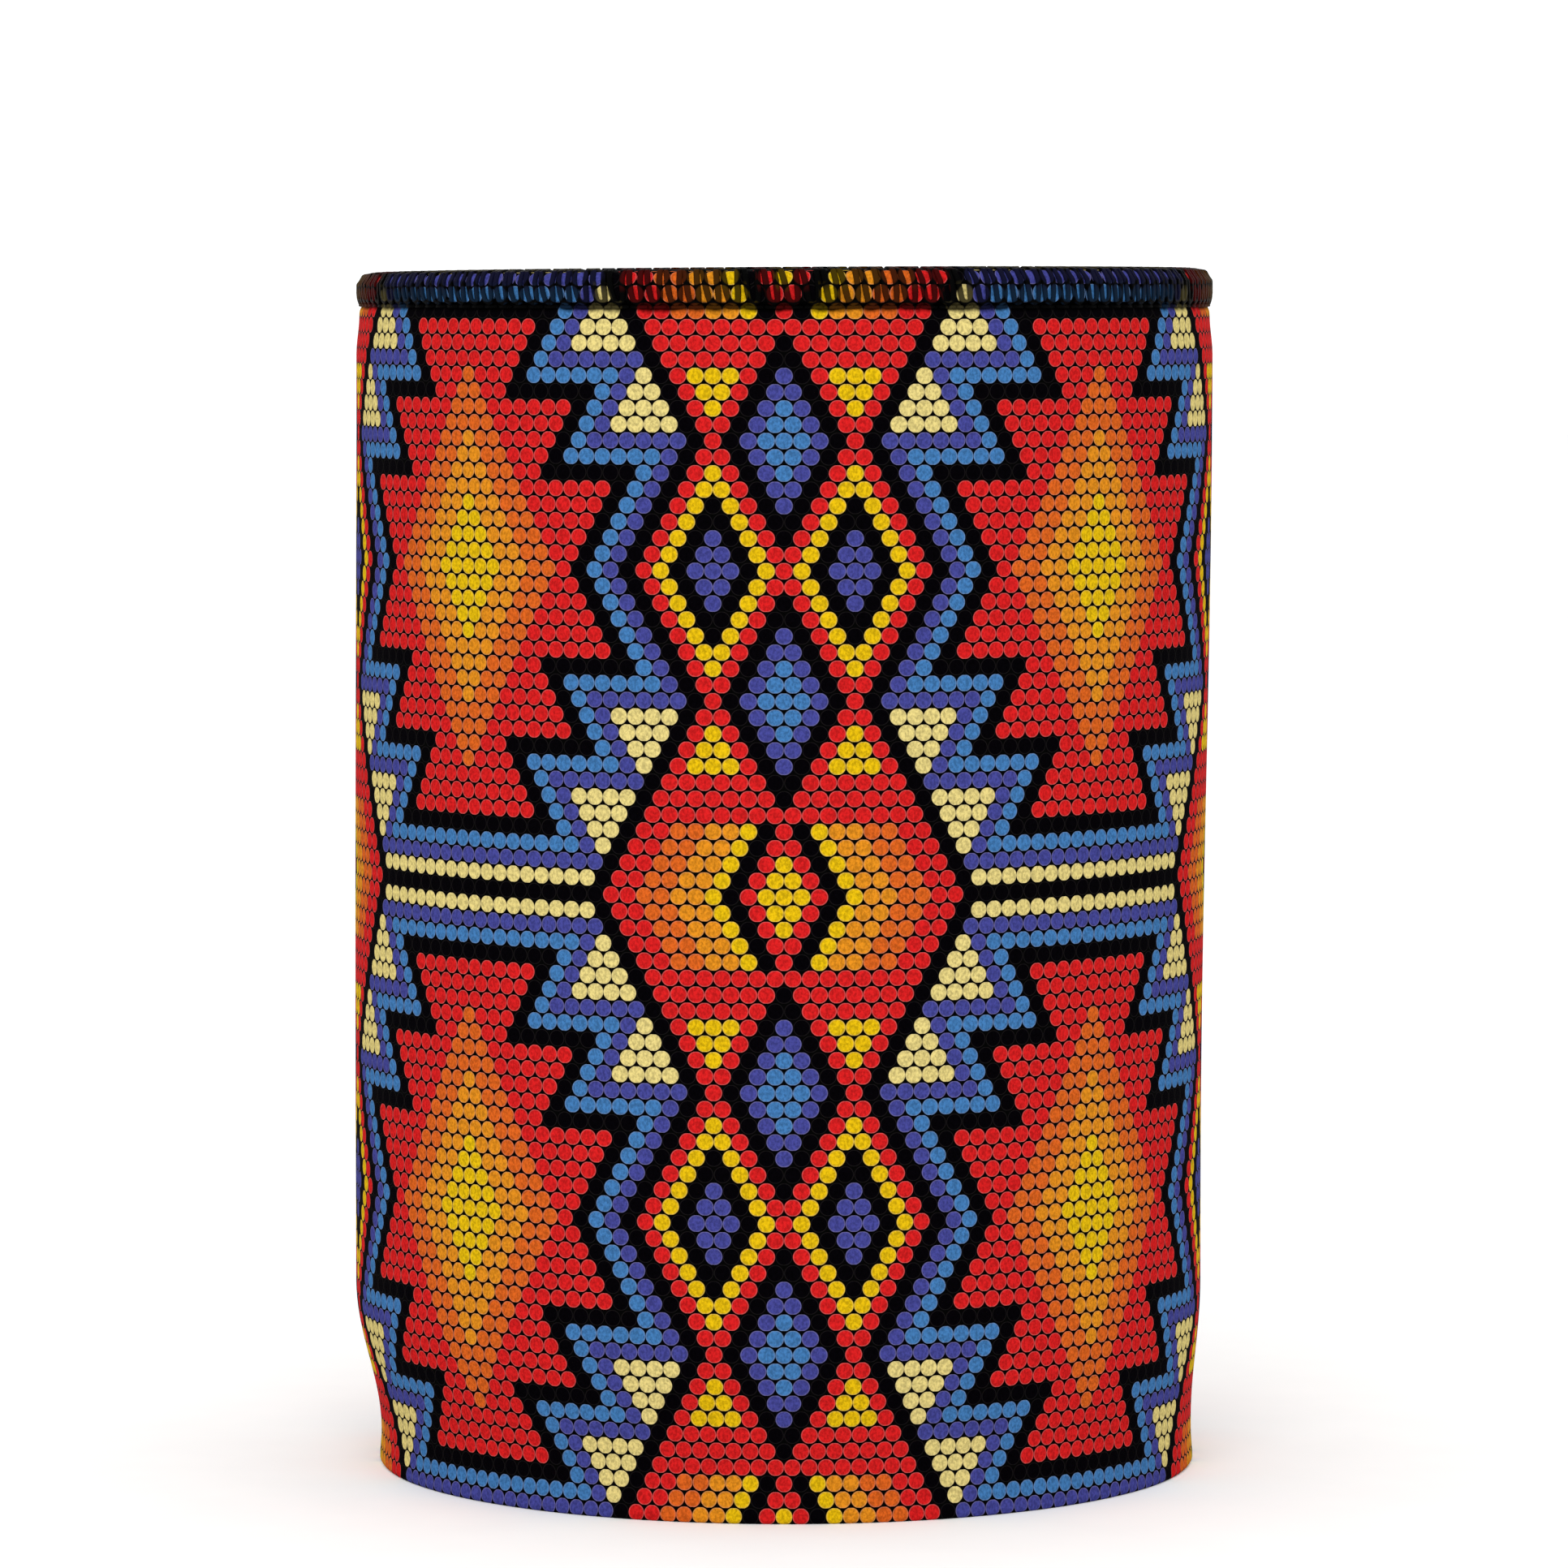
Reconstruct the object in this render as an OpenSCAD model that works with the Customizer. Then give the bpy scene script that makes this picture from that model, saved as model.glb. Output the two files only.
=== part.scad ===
// Insulating sleeve for a drinks can: foam faced with jersey, closed by a butt seam at the back (+Y),
// overlocked round the rim and glued round a foam disc at the foot.
// The origin is the centre of the foot, on the surface that the sleeve stands on. +Z is up.

/* [Can] */
// Diameter of the can that the sleeve holds
can_d = 66.2; // [52:0.1:82]
// Gap between the can and the lining, on the radius
can_gap = 0.1; // [0.05:0.05:0.5]

/* [Side wall] */
// Height of the sleeve, with its stitched rim
sleeve_h = 105; // [70:1:180]
// Thickness of the foam in the side
foam_t = 3.5; // [2.6:0.1:5]
// Thickness of the printed jersey
cover_t = 0.4; // [0.3:0.05:0.6]
// Thickness of the jersey lining
lining_t = 0.4; // [0.3:0.05:0.6]

/* [Base] */
// Thickness of the base disc, with its fabric
base_t = 5; // [3:0.1:8]
// How far the foot is drawn in from the side, on the radius
foot_inset = 1.5; // [0.5:0.1:3]
// Height over which the side is drawn in to the foot
draw_h = 10; // [5:0.5:20]
// Width of the glue line between the disc and the lining
glue_gap = 0.05; // [0.02:0.01:0.2]
// Diameter of the vent hole in the base
vent_d = 8; // [4:0.5:12]

/* [Rim stitching] */
// Height of the overlock stitching that wraps the edge
overlock_h = 3.4; // [2.6:0.1:6]
// Thickness of the thread over the edge
thread_t = 0.4; // [0.2:0.05:0.6]
// Height of the needle thread's row below the loopers
needle_row_h = 0.5; // [0.3:0.1:1]
// Thickness of the needle thread's row
needle_row_t = 0.3; // [0.2:0.05:0.5]
// How far the stitching presses the outer face in
outer_press = 0.15; // [0.05:0.05:0.5]
// Gap between the can and the thread inside the rim, on the radius
rim_clear = 0.1; // [0.05:0.05:0.5]
// Height over which the wall thins to the stitching
press_h = 1.6; // [0.5:0.1:4]
// Radius of the rim's corners, under the thread
edge_r = 1.6; // [0.8:0.1:2]

/* [Back seam] */
// Width of the zigzag stitching
seam_w = 5; // [3:0.5:8]
// Depth to which the zigzag sinks into the jersey
seam_sink = 0.25; // [0.1:0.05:0.25]
// How far the zigzag stands proud of the outer face
seam_proud = 0.1; // [0.05:0.05:0.3]
// Gap between the two ends of the panel
seam_gap = 0.2; // [0.1:0.05:0.5]
// Height at which the zigzag starts above the foot
seam_start = 1; // [0.5:0.5:5]

/* [Hidden] */
$fn = 180;
CURVE_STEPS = 8;
ARC_STEPS = 8;

PRINT_RED = "#cb1e1f";
JERSEY_BLACK = "#19181b";
FOAM_BLACK = "#242425";
THREAD_BLACK = "#101012";

// Radii and heights that several pieces share
bore_r = can_d / 2 + can_gap;
wall_t = lining_t + foam_t + cover_t;
base_r = bore_r - foot_inset - glue_gap;
bore_z = base_t + draw_h;
looper_z = sleeve_h - overlock_h;
needle_z = looper_z - needle_row_h;
press_z = needle_z - press_h;
edge_z = sleeve_h - thread_t;
inner_press = thread_t + rim_clear;
rim_in_r = bore_r + inner_press;
rim_out_r = bore_r + wall_t - outer_press;
rim_mid_r = (rim_in_r + rim_out_r) / 2;
corner_r = min(edge_r, 0.45 * (rim_out_r - rim_in_r));
seam_end = needle_z - needle_row_h;
seam_angle = 2 * asin(seam_w / 2 / (bore_r + wall_t));

// A smooth step from 0 at z0 to 1 at z1
function ease(z, z0, z1) = z <= z0 ? 0 : z >= z1 ? 1 : (1 - cos(180 * (z - z0) / (z1 - z0))) / 2;

// How far the rim stitching moves a layer: the inner face goes out, the outer face comes in
function press_of(depth) = depth < wall_t / 2 ? inner_press : -outer_press;

// Radius at height z of the surface that lies depth outside the wall's inner face
function face_r(depth, z) = bore_r + depth
    - foot_inset * (1 - ease(z, base_t, bore_z))
    + press_of(depth) * ease(z, press_z, needle_z);

// The heights at which the wall's outline bends
BENDS = concat(
    [for (i = [0 : CURVE_STEPS]) base_t + draw_h * i / CURVE_STEPS],
    [for (i = [0 : CURVE_STEPS]) press_z + press_h * i / CURVE_STEPS]);

// That surface's outline from z0 up to z1
function face_line(depth, z0, z1) = concat(
    [[face_r(depth, z0), z0]],
    [for (z = BENDS) if (z > z0 && z < z1) [face_r(depth, z), z]],
    [[face_r(depth, z1), z1]]);

function reversed(points) = [for (i = [len(points) - 1 : -1 : 0]) points[i]];

// Points on an arc about [r, z], from angle a0 to angle a1
function arc(r, z, radius, a0, a1) = [for (i = [0 : ARC_STEPS])
    let (a = a0 + (a1 - a0) * i / ARC_STEPS) [r + radius * cos(a), z + radius * sin(a)]];

// The angle at which the rim's rounded corner leaves a layer of thickness t
function leaves_at(t) = acos((corner_r - t) / corner_r);

// The rim's rounded corners under the thread: the stretch on the jersey, then the stretch on the foam
corner_z = edge_z - corner_r;
COVER_CORNER = arc(rim_out_r - corner_r, corner_z, corner_r, 0, leaves_at(cover_t));
FOAM_OUTER_CORNER = arc(rim_out_r - corner_r, corner_z, corner_r, leaves_at(cover_t), 90);
FOAM_INNER_CORNER = arc(rim_in_r + corner_r, corner_z, corner_r, 90, 180 - leaves_at(lining_t));
LINING_CORNER = arc(rim_in_r + corner_r, corner_z, corner_r, 180 - leaves_at(lining_t), 180);

module panel_end_gap() {
    translate([-seam_gap / 2, 0, -1])
        cube([seam_gap, bore_r + 2 * wall_t, sleeve_h + 2]);
}

// A strip of zigzag stitching between two depths in the wall, centred on the back
module seam_strip(depth0, depth1, z0, z1) {
    rotate([0, 0, 90 - seam_angle / 2])
        rotate_extrude(angle = seam_angle)
            polygon(concat(face_line(depth0, z0, z1), reversed(face_line(depth1, z0, z1))));
}

module outer_seam_strip() {
    seam_strip(wall_t - seam_sink, wall_t + seam_proud, seam_start, seam_end);
}

// The bobbin thread lies flush with the lining. proud makes the same strip stand into the bore, to cut
// its groove.
module inner_seam_strip(proud = 0) {
    seam_strip(-proud, seam_sink, base_t + seam_start, seam_end);
}

module printed_cover() {
    inner = wall_t - cover_t;
    color(PRINT_RED)
        difference() {
            rotate_extrude()
                polygon(concat(
                    arc(face_r(inner, 0), cover_t, cover_t, -90, 0),
                    face_line(wall_t, cover_t, needle_z),
                    COVER_CORNER,
                    reversed(face_line(inner, 0, needle_z))));
            panel_end_gap();
            outer_seam_strip();
        }
}

module foam_wall() {
    color(FOAM_BLACK)
        difference() {
            rotate_extrude()
                polygon(concat(
                    face_line(wall_t - cover_t, 0, needle_z),
                    FOAM_OUTER_CORNER,
                    FOAM_INNER_CORNER,
                    reversed(face_line(lining_t, 0, needle_z))));
            panel_end_gap();
        }
}

module inner_lining() {
    color(JERSEY_BLACK)
        difference() {
            rotate_extrude()
                polygon(concat(
                    face_line(lining_t, 0, needle_z),
                    LINING_CORNER,
                    reversed(face_line(0, 0, needle_z))));
            panel_end_gap();
            inner_seam_strip(proud = lining_t);
        }
}

// One layer of the base, with the vent hole through it
module base_layer(z0, z1) {
    translate([0, 0, z0])
        difference() {
            cylinder(r = base_r, h = z1 - z0);
            translate([0, 0, -1])
                cylinder(d = vent_d, h = z1 - z0 + 2);
        }
}

module base_cover() {
    color(JERSEY_BLACK) base_layer(0, cover_t);
}

module base_foam() {
    color(FOAM_BLACK) base_layer(cover_t, base_t - lining_t);
}

module base_lining() {
    color(JERSEY_BLACK) base_layer(base_t - lining_t, base_t);
}

// The row of straight stitches round the outer face, just below the loopers
module rim_needle_thread() {
    color(THREAD_BLACK)
        translate([0, 0, needle_z])
            difference() {
                cylinder(r = rim_out_r + needle_row_t, h = needle_row_h);
                translate([0, 0, -1])
                    cylinder(r = rim_out_r, h = needle_row_h + 2);
            }
}

// The thread that covers the outer face of the edge, up to the middle of its top
module rim_upper_looper_thread() {
    color(THREAD_BLACK)
        rotate_extrude()
            polygon(concat(
                [[rim_out_r, looper_z]],
                COVER_CORNER,
                FOAM_OUTER_CORNER,
                [[rim_mid_r, edge_z], [rim_mid_r, sleeve_h]],
                arc(rim_out_r - corner_r, corner_z, corner_r + thread_t, 90, 0),
                [[rim_out_r + thread_t, looper_z]]));
}

// The thread that covers the inner face of the edge
module rim_lower_looper_thread() {
    color(THREAD_BLACK)
        rotate_extrude()
            polygon(concat(
                [[rim_in_r, looper_z]],
                reversed(LINING_CORNER),
                reversed(FOAM_INNER_CORNER),
                [[rim_mid_r, edge_z], [rim_mid_r, sleeve_h]],
                arc(rim_in_r + corner_r, corner_z, corner_r + thread_t, 90, 180),
                [[rim_in_r - thread_t, looper_z]]));
}

module back_seam_needle_thread() {
    color(THREAD_BLACK) outer_seam_strip();
}

module back_seam_bobbin_thread() {
    color(THREAD_BLACK) inner_seam_strip();
}

foam_wall();
printed_cover();
inner_lining();
base_foam();
base_cover();
base_lining();
rim_needle_thread();
rim_upper_looper_thread();
rim_lower_looper_thread();
back_seam_needle_thread();
back_seam_bobbin_thread();
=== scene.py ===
"""An insulating sleeve for a drinks can: bead-printed jersey over foam, with an overlocked rim."""
import math

import bpy
import numpy as np
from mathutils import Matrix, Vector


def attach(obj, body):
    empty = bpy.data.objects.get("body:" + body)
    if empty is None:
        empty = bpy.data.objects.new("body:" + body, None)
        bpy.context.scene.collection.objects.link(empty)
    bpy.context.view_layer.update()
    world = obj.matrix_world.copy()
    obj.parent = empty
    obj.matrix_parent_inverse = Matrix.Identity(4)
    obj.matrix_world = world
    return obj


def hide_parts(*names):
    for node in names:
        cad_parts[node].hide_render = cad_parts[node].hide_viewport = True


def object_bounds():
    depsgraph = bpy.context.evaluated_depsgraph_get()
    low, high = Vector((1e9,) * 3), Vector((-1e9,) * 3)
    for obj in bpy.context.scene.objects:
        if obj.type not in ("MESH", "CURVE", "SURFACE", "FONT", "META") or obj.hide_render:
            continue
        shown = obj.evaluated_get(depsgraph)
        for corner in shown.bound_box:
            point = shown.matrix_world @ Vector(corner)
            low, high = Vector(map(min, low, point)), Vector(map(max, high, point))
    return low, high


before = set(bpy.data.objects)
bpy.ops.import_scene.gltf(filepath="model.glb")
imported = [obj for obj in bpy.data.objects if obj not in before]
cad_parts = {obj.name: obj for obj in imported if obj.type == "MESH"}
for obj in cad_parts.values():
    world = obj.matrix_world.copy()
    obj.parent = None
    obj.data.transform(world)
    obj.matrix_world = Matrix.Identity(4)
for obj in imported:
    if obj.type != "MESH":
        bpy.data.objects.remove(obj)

CAD_LOW, CAD_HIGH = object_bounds()
MM = 0.001

# Sizes of the sleeve in millimetres, the same as the solid model's
SLEEVE_H = CAD_HIGH.z / MM
BORE_R = 33.2
WALL_T = 4.3
FOOT_INSET = 1.5
BASE_R = 31.65
BASE_T = 5.0
VENT_R = 4.0
BORE_Z = 15.0
PRESS_Z = 99.5
NEEDLE_Z = 101.1
RIM_IN_R = 33.7
RIM_OUT_R = 37.35
RIM_MID_R = (RIM_IN_R + RIM_OUT_R) / 2
SEAM_W = 5.0
SLIT = 0.2

# The soft shape in millimetres: the jersey's thickness, the glue between two layers, the radius of the
# foot above its flare, and how much fuller the side is at its top than just above the foot
JERSEY_T = 0.38
GLUE_T = 0.02
FOOT_R = 35.87
FULLNESS = 0.27
# Columns of mesh round the foam and the lining, and round a disc of the base
WALL_COLUMNS = 180
DISC_COLUMNS = 160

# The rim: the heights of the groove for the needle's row, of the loops' feet, of the centre of the corner's
# arc and of the top of the foam, then the arc's radius and how many degrees of it the jersey covers
GROOVE_Z = 101.9
FEET_Z = 102.2
CORNER_Z = 103.82
EDGE_Z = 104.88
CORNER_R = 0.9
CUT_ANGLE = 78

# The stitching: stitches round the rim, the width and thickness of the looper, needle and seam threads, the
# height between two turns of the back seam's zigzag, the gap below its first turn, and its top
STITCHES = 143
LOOPER_W = 0.53
LOOPER_T = 0.28
NEEDLE_W = 0.3
NEEDLE_T = 0.26
SEAM_THREAD_W = 0.36
SEAM_THREAD_T = 0.3
ZIGZAG_LEG = 0.85
SEAM_START = 1.2
SEAM_TOP_Z = 100.4

# The print: beads round the sleeve, beads in a repeat, the height of the middle of row 0, the height of a
# row, and how much each row is lower than the one below it, because the jersey is stretched towards the foot
BEADS_ROUND = 160
REPEAT = 40
ROW_0_Z = 52.93
ROW_H = 1.3635
ROW_SHRINK = 0.00067
# The share of a row's height that counts across a bead, so that the beads come out nearly round
BEAD_SQUEEZE = 0.95
# How strongly the pale ring shows at the edge of a coloured bead, and of a black one
RING = 0.22
RING_ON_BLACK = 0.02
BEAD_COLOURS = {
    "R": "#b3191a",
    "K": "#030204",
    "B": "#366596",
    "P": "#383a7b",
    "C": "#bfaf6d",
    "O": "#b75219",
    "A": "#bd7618",
    "Y": "#bf9c0b",
}


def linear(code, alpha=1.0):
    """An sRGB hex colour as the linear numbers that Blender works in."""
    parts = [int(code[i:i + 2], 16) / 255 for i in (1, 3, 5)]
    return [c / 12.92 if c <= 0.04045 else ((c + 0.055) / 1.055) ** 2.4 for c in parts] + [alpha]


def add(tree, kind, links=None, **settings):
    """Adds a node. links gives an input's name or number its value, or the node or output that feeds it."""
    node = tree.nodes.new(kind)
    for name, value in settings.items():
        setattr(node, name, value)
    for place, value in (links or {}).items():
        if isinstance(place, str):
            socket = next(s for s in node.inputs if s.enabled and s.name == place)
        else:
            socket = node.inputs[place]
        if isinstance(value, bpy.types.Node):
            value = next(s for s in value.outputs if s.enabled)
        if isinstance(value, bpy.types.NodeSocket):
            tree.links.new(value, socket)
        else:
            socket.default_value = value
    return node


# ---------------------------------------------------------------- the soft shape

def ease(z, start, end):
    """A smooth step from 0 at start to 1 at end."""
    t = np.clip((np.asarray(z, float) - start) / (end - start), 0, 1)
    return (1 - np.cos(math.pi * t)) / 2


def outer_face(z):
    """Radius of the printed face at height z.

    It is drawn in at the foot, with a small flare, and gets fuller towards the top. The rim's thread presses
    that fullness in again, and the needle's row lies in a groove.
    """
    flare = 0.15 * (1 - ease(z, 0, 2.6))
    side = FOOT_INSET * ease(z, 3, 16) + FULLNESS * (ease(z, 20, 85) - ease(z, PRESS_Z - 2, NEEDLE_Z))
    groove = 0.22 * np.exp(-((np.asarray(z, float) - GROOVE_Z) / 0.4) ** 2)
    return FOOT_R + flare + side - groove


def inner_face(z):
    """Radius of the lining's face at height z."""
    foot = BORE_R - FOOT_INSET * (1 - ease(z, BASE_T, BORE_Z))
    return foot + (RIM_IN_R - BORE_R) * ease(z, PRESS_Z, NEEDLE_Z)


def settle(radius, angle, height):
    """Points in metres for a place on the true round sleeve, after the soft wall's lean, dip and seam.

    The angle is 0 at the front and pi at the back seam.
    """
    radius = np.asarray(radius, float)
    height = np.asarray(height, float)
    # The wall stands further out on one side than on the other, but the front stays square
    sway = 0.2 - 0.7 * ease(height, 2, 16) + 0.57 * ease(height, 25, 100)
    radius = radius + sway * np.sin(angle)
    # Away from the base disc it is a little out of round
    out_of_round = 0.10 * np.cos(2 * angle + 0.7) + 0.05 * np.cos(3 * angle - 0.4)
    radius = radius + out_of_round * ease(height, 3, 60)
    # The two ends of the panel roll in towards each other where the seam pulls them together
    from_seam = (math.pi - np.abs(angle)) * radius
    depth = np.clip((radius - BORE_R) / WALL_T, 0, 1)
    roll = 0.28 * np.exp(-(from_seam / 0.8) ** 2)
    radius = radius - (2 * depth - 1) * roll
    # The rim stands higher at the front and on one side, and dips at the back
    rise = -0.10 + 0.32 * np.cos(angle) + 0.2 * np.sin(angle)
    height = height + rise * ease(height, 102, 104.4)
    return np.stack([radius * np.sin(angle), -radius * np.cos(angle), height], axis=-1) * MM


def settle_mesh(mesh):
    """Moves a mesh that was made on the true round sleeve onto the soft one."""
    flat = np.empty(len(mesh.vertices) * 3)
    mesh.vertices.foreach_get("co", flat)
    x, y, z = flat.reshape(-1, 3).T / MM
    soft = settle(np.hypot(x, y), np.arctan2(x, -y), z)
    mesh.vertices.foreach_set("co", soft.ravel())
    mesh.update()


# ---------------------------------------------------------------- the bead pattern

def column_bead(u, v):
    """A bead of the middle column: a hexagon, triangles and diamonds inside the black outline."""
    if v <= 4:
        return "YYRKYAAOORR"[round(u + v / 2)]
    blue_diamond = u + abs(v - 12) / 2
    if blue_diamond < 3.1:
        return "BBPK"[round(blue_diamond)]
    if v >= 12:
        return "PPKYR"[round(abs(u - 4) + abs(v - 20) / 2)]
    if v >= 8 and abs(u - 4) < (10 - v) / 2 + 0.1:
        return "Y"
    return "R"


def side_bead(u, v):
    """A bead beyond the outline: three stepped bands of cream, purple and blue, then the red field."""
    if v == 0:
        return "K"
    step = min(v // 5, 3)
    row = v - 5 * step if step < 3 else 0
    across = round(u - v / 2 + 5 * step - 12)
    if across > 5 and step > 0:
        sun = abs(u - 20) + abs(v - 20) / 2
        return "Y" if sun < 2.1 else "A" if sun < 4.1 else "O" if sun < 6.1 else "R"
    if step == 0:
        across = min(across, (2, 2, 3, 4, 4)[row])
    if row == 4 and across >= 0:
        return "K"
    if row == 3 and -1 <= across <= 4:
        return "B"
    if row == 2 and -2 <= across <= 3:
        return "P"
    if row in (0, 1):
        return "C" if across <= 2 else "PBK"[across - 3]
    return {5: "K", 4: "B", 3: "P", -1: "B", -2: "P"}.get(across, "C")


def bead(u, v):
    """The colour of the bead u beads round from the front and v rows up from row 0."""
    u, v = abs(u) % REPEAT, int(abs(v)) % REPEAT
    u, v = min(u, REPEAT - u), min(v, REPEAT - v)
    outline = 5 + abs(v - 12) / 2
    if abs(u - outline) < 0.1:
        return "K"
    return column_bead(u, v) if u < outline else side_bead(u, v)


def row_distance(v):
    """Distance in millimetres up the printed face of a place v rows above the middle of row 0."""
    return ROW_0_Z + ROW_H * v - ROW_SHRINK / 2 * v * v


def row_at(distance):
    """The opposite of row_distance."""
    return (ROW_H - np.sqrt(ROW_H ** 2 - 2 * ROW_SHRINK * (distance - ROW_0_Z))) / ROW_SHRINK


def bead_place(u, v):
    """The middle of the bead that covers a point of the print."""
    row = math.floor(v + 0.5)
    shift = 0.5 * (row % 2)
    return math.floor(u - shift + 0.5) + shift, row


# ---------------------------------------------------------------- materials

def start_material(name, **surface):
    """A new material with a principled surface, set to the given numbers."""
    material = bpy.data.materials.new(name)
    material.use_nodes = True
    tree = material.node_tree
    tree.nodes.clear()
    shader = add(tree, "ShaderNodeBsdfPrincipled", surface_links(surface))
    add(tree, "ShaderNodeOutputMaterial", {"Surface": shader})
    return material, tree, shader


def surface_links(surface):
    """Turns words such as sheen_weight into the names of the surface's sockets."""
    names = {"ior": "IOR", "specular": "Specular IOR Level"}
    return {names.get(k, k.replace("_", " ").title()): v for k, v in surface.items()}


def knit_height(tree, wale, course):
    """Height of plain knitting: columns of V stitches, wale and course apart, in millimetres."""
    place = add(tree, "ShaderNodeSeparateXYZ", {0: add(tree, "ShaderNodeUVMap", uv_map="knit")})
    column = add(tree, "ShaderNodeMath", {0: place.outputs["X"], 1: wale}, operation="DIVIDE")
    column = add(tree, "ShaderNodeMath", {0: column, 1: 1.0}, operation="PINGPONG")
    slant = add(tree, "ShaderNodeMath", {0: column, 1: 0.9}, operation="MULTIPLY")
    row = add(tree, "ShaderNodeMath", {0: place.outputs["Y"], 1: course}, operation="DIVIDE")
    row = add(tree, "ShaderNodeMath", {0: row, 1: slant}, operation="ADD")
    row = add(tree, "ShaderNodeMath", {0: row, 1: math.tau}, operation="MULTIPLY")
    row = add(tree, "ShaderNodeMath", {0: row}, operation="COSINE")
    row = add(tree, "ShaderNodeMapRange", {"Value": row, "From Min": -1, "From Max": 1, "To Min": 0.45})
    column = add(tree, "ShaderNodeMath", {0: column, 1: math.pi}, operation="MULTIPLY")
    column = add(tree, "ShaderNodeMath", {0: column}, operation="SINE")
    return add(tree, "ShaderNodeMath", {0: column, 1: row}, operation="MULTIPLY")


def speckle(tree, size, stretch=1.0):
    """Fine noise from 0 to 1 with grains of that size in millimetres, stretched up and down."""
    place = add(tree, "ShaderNodeMapping", {
        "Vector": add(tree, "ShaderNodeTexCoord").outputs["Object"],
        "Scale": (1, 1, 1 / stretch),
    })
    return add(tree, "ShaderNodeTexNoise", {
        "Vector": place, "Scale": 0.6 / (size * MM), "Detail": 1.5, "Roughness": 0.6,
    })


def set_surface(tree, shader, colour, relief, strength, depth):
    """Gives a surface its colour and a bump of that depth in millimetres."""
    bump = add(tree, "ShaderNodeBump", {"Height": relief, "Strength": strength, "Distance": depth * MM})
    for node, place in ((colour, "Base Color"), (bump, "Normal")):
        tree.links.new(next(s for s in node.outputs if s.enabled), shader.inputs[place])


def printed_jersey():
    """Polyester jersey, knitted white, dyed through with the bead print.

    The dye lies in the yarn, so the beads are flat: the knit and its grain run on through them. The eye gets
    saturated matt dots, each with a thin paler edge, on near-black gaps.
    """
    material, tree, shader = start_material(
        "printed_polyester_jersey", roughness=0.8, ior=1.5, specular=0.005)
    # The dot's edge and its paler ring, in beads from its middle
    dot = add(tree, "ShaderNodeUVMap", uv_map="dot")
    from_middle = add(tree, "ShaderNodeVectorMath", {0: dot}, operation="LENGTH")
    inside = add(tree, "ShaderNodeMapRange", {
        "Value": from_middle, "From Min": 0.482, "From Max": 0.504, "To Min": 1.0, "To Max": 0.0})
    to_edge = add(tree, "ShaderNodeMath", {0: from_middle, 1: 0.464}, operation="SUBTRACT")
    to_edge = add(tree, "ShaderNodeMath", {0: to_edge}, operation="ABSOLUTE")
    edge = add(tree, "ShaderNodeMapRange", {
        "Value": to_edge, "From Min": 0.006, "From Max": 0.032, "To Min": 1.0, "To Max": 0.0})
    dye = add(tree, "ShaderNodeAttribute", attribute_name="bead")
    edge = add(tree, "ShaderNodeMath", {0: edge, 1: dye.outputs["Alpha"]}, operation="MULTIPLY")
    # Grain of the yarn, drawn at 0.2 mm so that it shows
    grain = add(tree, "ShaderNodeMapRange", {
        "Value": speckle(tree, 0.13, stretch=1.3), "From Min": 0.35, "From Max": 0.65,
        "To Min": 0.72, "To Max": 1.2})
    dyed = add(tree, "ShaderNodeVectorMath", {0: dye.outputs["Color"], 1: grain}, operation="MULTIPLY")
    colour = add(tree, "ShaderNodeMix", {"Factor": inside, "A": linear("#030303"), "B": dyed},
                 data_type="RGBA")
    colour = add(tree, "ShaderNodeMix", {"Factor": edge, "A": colour, "B": linear("#9a8f8c")},
                 data_type="RGBA")
    # Painted shade: along the needle's row and just under the loops' feet the print is darkened to near
    # black, a painted shadow of the rim's band and its groove, with an uneven upper edge
    place = add(tree, "ShaderNodeSeparateXYZ", {0: add(tree, "ShaderNodeUVMap", uv_map="knit")})
    painted_shade_height = add(tree, "ShaderNodeMath", {0: speckle(tree, 1.0), 1: 0.7, 2: place.outputs["Y"]},
               operation="MULTIPLY_ADD")
    below = add(tree, "ShaderNodeMapRange", {
        "Value": painted_shade_height, "From Min": GROOVE_Z - 0.2, "From Max": GROOVE_Z + 0.3,
        "To Min": 1.0, "To Max": 0.04},
        interpolation_type="SMOOTHSTEP")
    # Above the loops' feet the print is bright again, so the painted shade is only a band
    above = add(tree, "ShaderNodeMapRange", {
        "Value": place.outputs["Y"], "From Min": FEET_Z, "From Max": FEET_Z + 0.25},
        interpolation_type="SMOOTHSTEP")
    shade = add(tree, "ShaderNodeMath", {0: below, 1: above}, operation="MAXIMUM")
    colour = add(tree, "ShaderNodeVectorMath", {0: colour.outputs["Result"], 1: shade}, operation="MULTIPLY")
    # The knit's stitches are 0.36 by 0.3 mm, under the yarn's own roughness
    relief = add(tree, "ShaderNodeMath", {
        0: knit_height(tree, 0.36, 0.3), 1: 0.5, 2: speckle(tree, 0.2)}, operation="MULTIPLY_ADD")
    set_surface(tree, shader, colour, relief, 0.35, 0.05)
    return material


def black_jersey():
    """Polyester jersey, knitted and dyed black: matt, with rows of V stitches and a faint bloom of fibre."""
    material, tree, shader = start_material(
        "black_polyester_jersey", roughness=0.85, ior=1.5, specular=0.15,
        sheen_weight=0.1, sheen_roughness=0.4)
    # The stitches are drawn at 0.6 by 0.45 mm, half as coarse again as the real ones, so that they show
    stitches = knit_height(tree, 0.6, 0.45)
    # Painted shade: the colour is lighter on the raised stitches and darker between them, with random tone on
    # top
    shade = add(tree, "ShaderNodeMath", {0: stitches, 1: 0.7, 2: speckle(tree, 0.2)},
                operation="MULTIPLY_ADD")
    colour = add(tree, "ShaderNodeMix", {
        "Factor": shade, "A": linear("#0b0a0c"), "B": linear("#232226")}, data_type="RGBA")
    set_surface(tree, shader, colour, stitches, 0.7, 0.12)
    return material


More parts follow.
